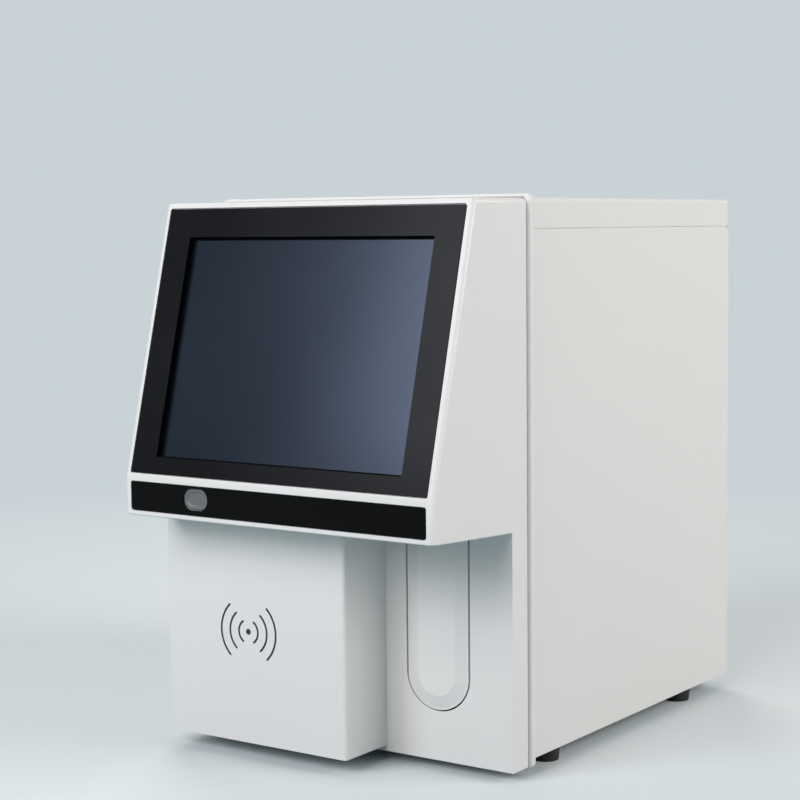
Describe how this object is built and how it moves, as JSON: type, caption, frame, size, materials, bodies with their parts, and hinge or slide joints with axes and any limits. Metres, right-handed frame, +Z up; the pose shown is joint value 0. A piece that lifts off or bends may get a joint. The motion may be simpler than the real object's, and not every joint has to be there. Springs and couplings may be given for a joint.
{
  "type": "veterinary blood analyzer",
  "caption": "Bench-top blood analyzer with a tilted touch screen in a moulded front, a sampling bay with a U-shaped start plate, a reader box and a hinged service lid.",
  "frame": {"origin": "on the bench, under the middle of the instrument's bounding box", "axes": "+Z up, -Y towards the operator (the screen's side), +X to the right seen from the front"},
  "size_m": [0.273, 0.455, 0.4051],
  "materials": {
    "moulded_white": "satin, finely textured",
    "charcoal_plastic": "satin",
    "screen_glass": "anti-glare",
    "screen_panel": "satin, unlit",
    "black_strip": "satin",
    "button_grey": "satin, translucent",
    "body_paint": "fine powder coat",
    "zinc_steel": "zinc plated",
    "plain_steel": "bright",
    "foot_rubber": "matt",
    "belt_rubber": "matt",
    "circuit_board": "solder mask",
    "machined_aluminium": "machined",
    "motor_black": "satin",
    "black_plastic": "moulded",
    "clear_acrylic": "polished",
    "clear_glass": "polished",
    "white_acetal": "satin",
    "fitting_plastic": "moulded"
  },
  "bodies": {
    "instrument": {"case_screws": "plain_steel", "chamber_bracket": "zinc_steel", "chassis_base": "zinc_steel", "counting_chambers": "clear_acrylic", "display_bezel": "charcoal_plastic", "display_board": "circuit_board", "fan_frame": "black_plastic", "fan_guard": "plain_steel", "feet": "foot_rubber", "foot_screws": "plain_steel", "front_housing": "moulded_white", "front_strip": "black_strip", "joint_frame": "moulded_white", "lcd_bracket": "zinc_steel", "lcd_module": "screen_panel", "lid_hinge_lower_leaves": "zinc_steel", "lid_hinge_pins": "plain_steel", "main_board": "circuit_board", "port_board": "circuit_board", "power_button_board": "circuit_board", "power_button_spring": "plain_steel", "power_inlet": "black_plastic", "power_supply": "zinc_steel", "reader_board": "circuit_board", "reader_cover": "moulded_white", "reagent_fittings": "fitting_plastic", "rear_panel": "body_paint", "service_wall": "zinc_steel", "side_panel_left": "body_paint", "side_panel_right": "body_paint", "start_microswitch": "black_plastic", "start_plate_pin": "plain_steel", "start_plate_spring": "plain_steel", "start_switch_bracket": "zinc_steel", "syringe_barrel": "clear_glass", "syringe_frame": "machined_aluminium", "syringe_motor": "motor_black", "touch_glass": "screen_glass", "travel_belt": "belt_rubber", "travel_motor": "motor_black", "travel_rail": "plain_steel", "vacuum_pump": "motor_black", "valve_bank": "white_acetal"},
    "lid": {"top_lid": "body_paint", "lid_hinge_upper_leaves": "zinc_steel"},
    "power_button": {"power_button": "button_grey"},
    "start_plate": {"start_plate": "moulded_white"},
    "carriage": {"probe_carriage": "machined_aluminium", "lift_rail": "plain_steel", "lift_motor": "motor_black", "probe_wipe": "white_acetal"},
    "probe": {"probe_slider": "machined_aluminium", "sample_probe": "plain_steel"},
    "lift_screw": {"lift_screw": "plain_steel"},
    "drive_pulley": {"drive_pulley": "machined_aluminium"},
    "idler_pulley": {"idler_pulley": "machined_aluminium"},
    "syringe_plunger": {"syringe_plunger": "white_acetal"},
    "syringe_screw": {"syringe_screw": "plain_steel"},
    "fan_rotor": {"fan_rotor": "black_plastic"},
    "power_rocker": {"power_rocker": "black_plastic"}
  },
  "joints": [
    {"name": "lid_hinge", "type": "hinge", "parent": "instrument", "child": "lid", "pos_m": [0, 0.2071, 0.38115], "axis": [-1, 0, 0], "range_deg": [0, 95]},
    {"name": "power_button_press", "type": "slide", "parent": "instrument", "child": "power_button", "axis": [0, 1, 0], "range_m": [0, 0.0012], "stiffness_N_per_m": 500, "springref_m": -0.0008, "deforming": ["power_button_spring"]},
    {"name": "start_plate_press", "type": "hinge", "parent": "instrument", "child": "start_plate", "pos_m": [0.0719, -0.122, 0.1615], "axis": [1, 0, 0], "range_deg": [0, 1.2], "stiffness_Nm_per_rad": 1.85, "springref_deg": -1.72, "deforming": ["start_plate_spring"]},
    {"name": "probe_travel", "type": "slide", "parent": "instrument", "child": "carriage", "axis": [0, 1, 0], "range_m": [0, 0.185]},
    {"name": "drive_pulley_spin", "type": "hinge", "parent": "instrument", "child": "drive_pulley", "pos_m": [0.027, 0.1045, 0.346], "axis": [1, 0, 0], "range_deg": [0, 1525]},
    {"name": "idler_pulley_spin", "type": "hinge", "parent": "instrument", "child": "idler_pulley", "pos_m": [0.027, -0.1355, 0.346], "axis": [1, 0, 0], "range_deg": [0, 1525]},
    {"name": "probe_lift", "type": "slide", "parent": "carriage", "child": "probe", "axis": [0, 0, 1], "range_m": [-0.075, 0]},
    {"name": "lift_screw_spin", "type": "hinge", "parent": "carriage", "child": "lift_screw", "pos_m": [0.04548, -0.1335, 0.26], "axis": [0, 0, 1], "range_deg": [0, 5401]},
    {"name": "syringe_stroke", "type": "slide", "parent": "instrument", "child": "syringe_plunger", "axis": [0, 0, 1], "range_m": [0, 0.028]},
    {"name": "syringe_screw_spin", "type": "hinge", "parent": "instrument", "child": "syringe_screw", "pos_m": [0.0404, -0.0765, 0.06], "axis": [0, 0, 1], "range_deg": [-2521, 0]},
    {"name": "fan_spin", "type": "hinge", "parent": "instrument", "child": "fan_rotor", "pos_m": [-0.068, 0.19, 0.29], "axis": [0, 1, 0], "continuous": true},
    {"name": "power_rocker_tip", "type": "hinge", "parent": "instrument", "child": "power_rocker", "pos_m": [-0.086, 0.2, 0.093], "axis": [1, 0, 0], "range_deg": [0, 16]}
  ],
  "couplings": [
    {"joint": "drive_pulley_spin", "follows": "probe_travel", "rad_per_m": 143.27},
    {"joint": "idler_pulley_spin", "follows": "probe_travel", "rad_per_m": 143.27},
    {"joint": "lift_screw_spin", "follows": "probe_lift", "rad_per_m": -1256.6},
    {"joint": "syringe_screw_spin", "follows": "syringe_stroke", "rad_per_m": -1570.8}
  ]
}
